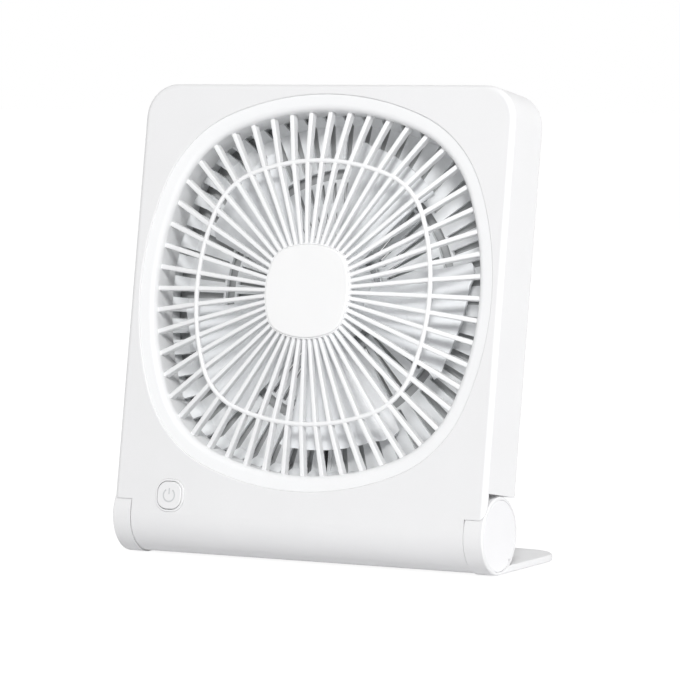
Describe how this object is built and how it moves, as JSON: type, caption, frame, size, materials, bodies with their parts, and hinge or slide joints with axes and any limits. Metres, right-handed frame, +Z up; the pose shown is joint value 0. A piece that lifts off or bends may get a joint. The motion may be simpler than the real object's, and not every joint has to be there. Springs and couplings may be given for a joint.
{
  "type": "folding table fan",
  "caption": "Slim square battery fan with a radial grille that leans back on a fold-flat stand plate with round hinge ears, and has one push button.",
  "frame": {"origin": "middle of the footprint, on the surface that the foot pads rest on", "axes": "+Z up, +X to the right seen from the front, -Y towards the grille side"},
  "size_m": [0.215, 0.0978, 0.2447],
  "materials": {
    "case": "satin white moulded plastic with a fine grain",
    "grille": "smooth satin white moulded plastic",
    "stand": "satin white moulded plastic with a fine grain",
    "cap": "smooth satin white moulded plastic",
    "badge": "smooth white moulded plastic, left bare",
    "rear": "satin white moulded plastic",
    "blade": "smooth pale grey-white moulded plastic",
    "button": "satin white moulded plastic",
    "pad": "matt grey rubber",
    "steel": "bright turned steel",
    "screw": "zinc-plated steel",
    "bush": "natural acetal",
    "bracket": "pale grey moulded plastic",
    "copper": "enamelled copper wire",
    "core": "stacked laminations",
    "magnet": "sintered ferrite",
    "board": "green solder resist",
    "switch": "black moulded plastic",
    "cell": "shrink sleeve",
    "lead": "black insulated wire"
  },
  "bodies": {
    "stand": {"stand_frame": "stand", "foot_pads": "pad", "ear_cap_left": "cap", "ear_cap_right": "cap", "hinge_pin_left": "steel", "hinge_pin_right": "steel", "hinge_screws": "screw"},
    "rotor": {"rotor_cup": "steel", "magnet_ring": "magnet", "motor_shaft": "steel", "impeller": "blade", "impeller_nut": "bush"},
    "button": {"power_button": "button", "switch_plunger": "switch"},
    "fan_body": {"front_shell": "case", "rear_shell": "case", "front_grille": "grille", "hub_badge": "badge", "rear_grille": "rear", "hinge_bush_left": "bush", "hinge_bush_right": "bush", "case_screws": "screw", "motor_bracket": "bracket", "motor_screws": "screw", "motor_board": "board", "stator_core": "core", "stator_coils": "copper", "front_bearing": "steel", "rear_bearing": "steel", "button_ring": "button", "tact_switch": "switch", "control_board": "board", "board_screws": "screw", "battery_cell_left": "cell", "battery_cell_right": "cell", "battery_cradle": "bracket", "usb_socket": "steel", "charge_board": "board", "motor_lead": "lead", "battery_lead": "lead", "charge_lead": "lead"}
  },
  "joints": [
    {"name": "body_fold", "type": "hinge", "parent": "stand", "child": "fan_body", "pos_m": [0, -0.0291, 0.0203], "axis": [1, 0, 0], "range_deg": [-80.6, 94.4]},
    {"name": "fan_spin", "type": "hinge", "parent": "fan_body", "child": "rotor", "pos_m": [0, -0.00991, 0.13622], "axis": [0, 0.9866, -0.1633], "continuous": true},
    {"name": "button_press", "type": "slide", "parent": "fan_body", "child": "button", "axis": [0, 0.9866, -0.1633], "range_m": [0, 0.0008], "stiffness_N_per_m": 1500, "springref_m": -0.0006}
  ]
}
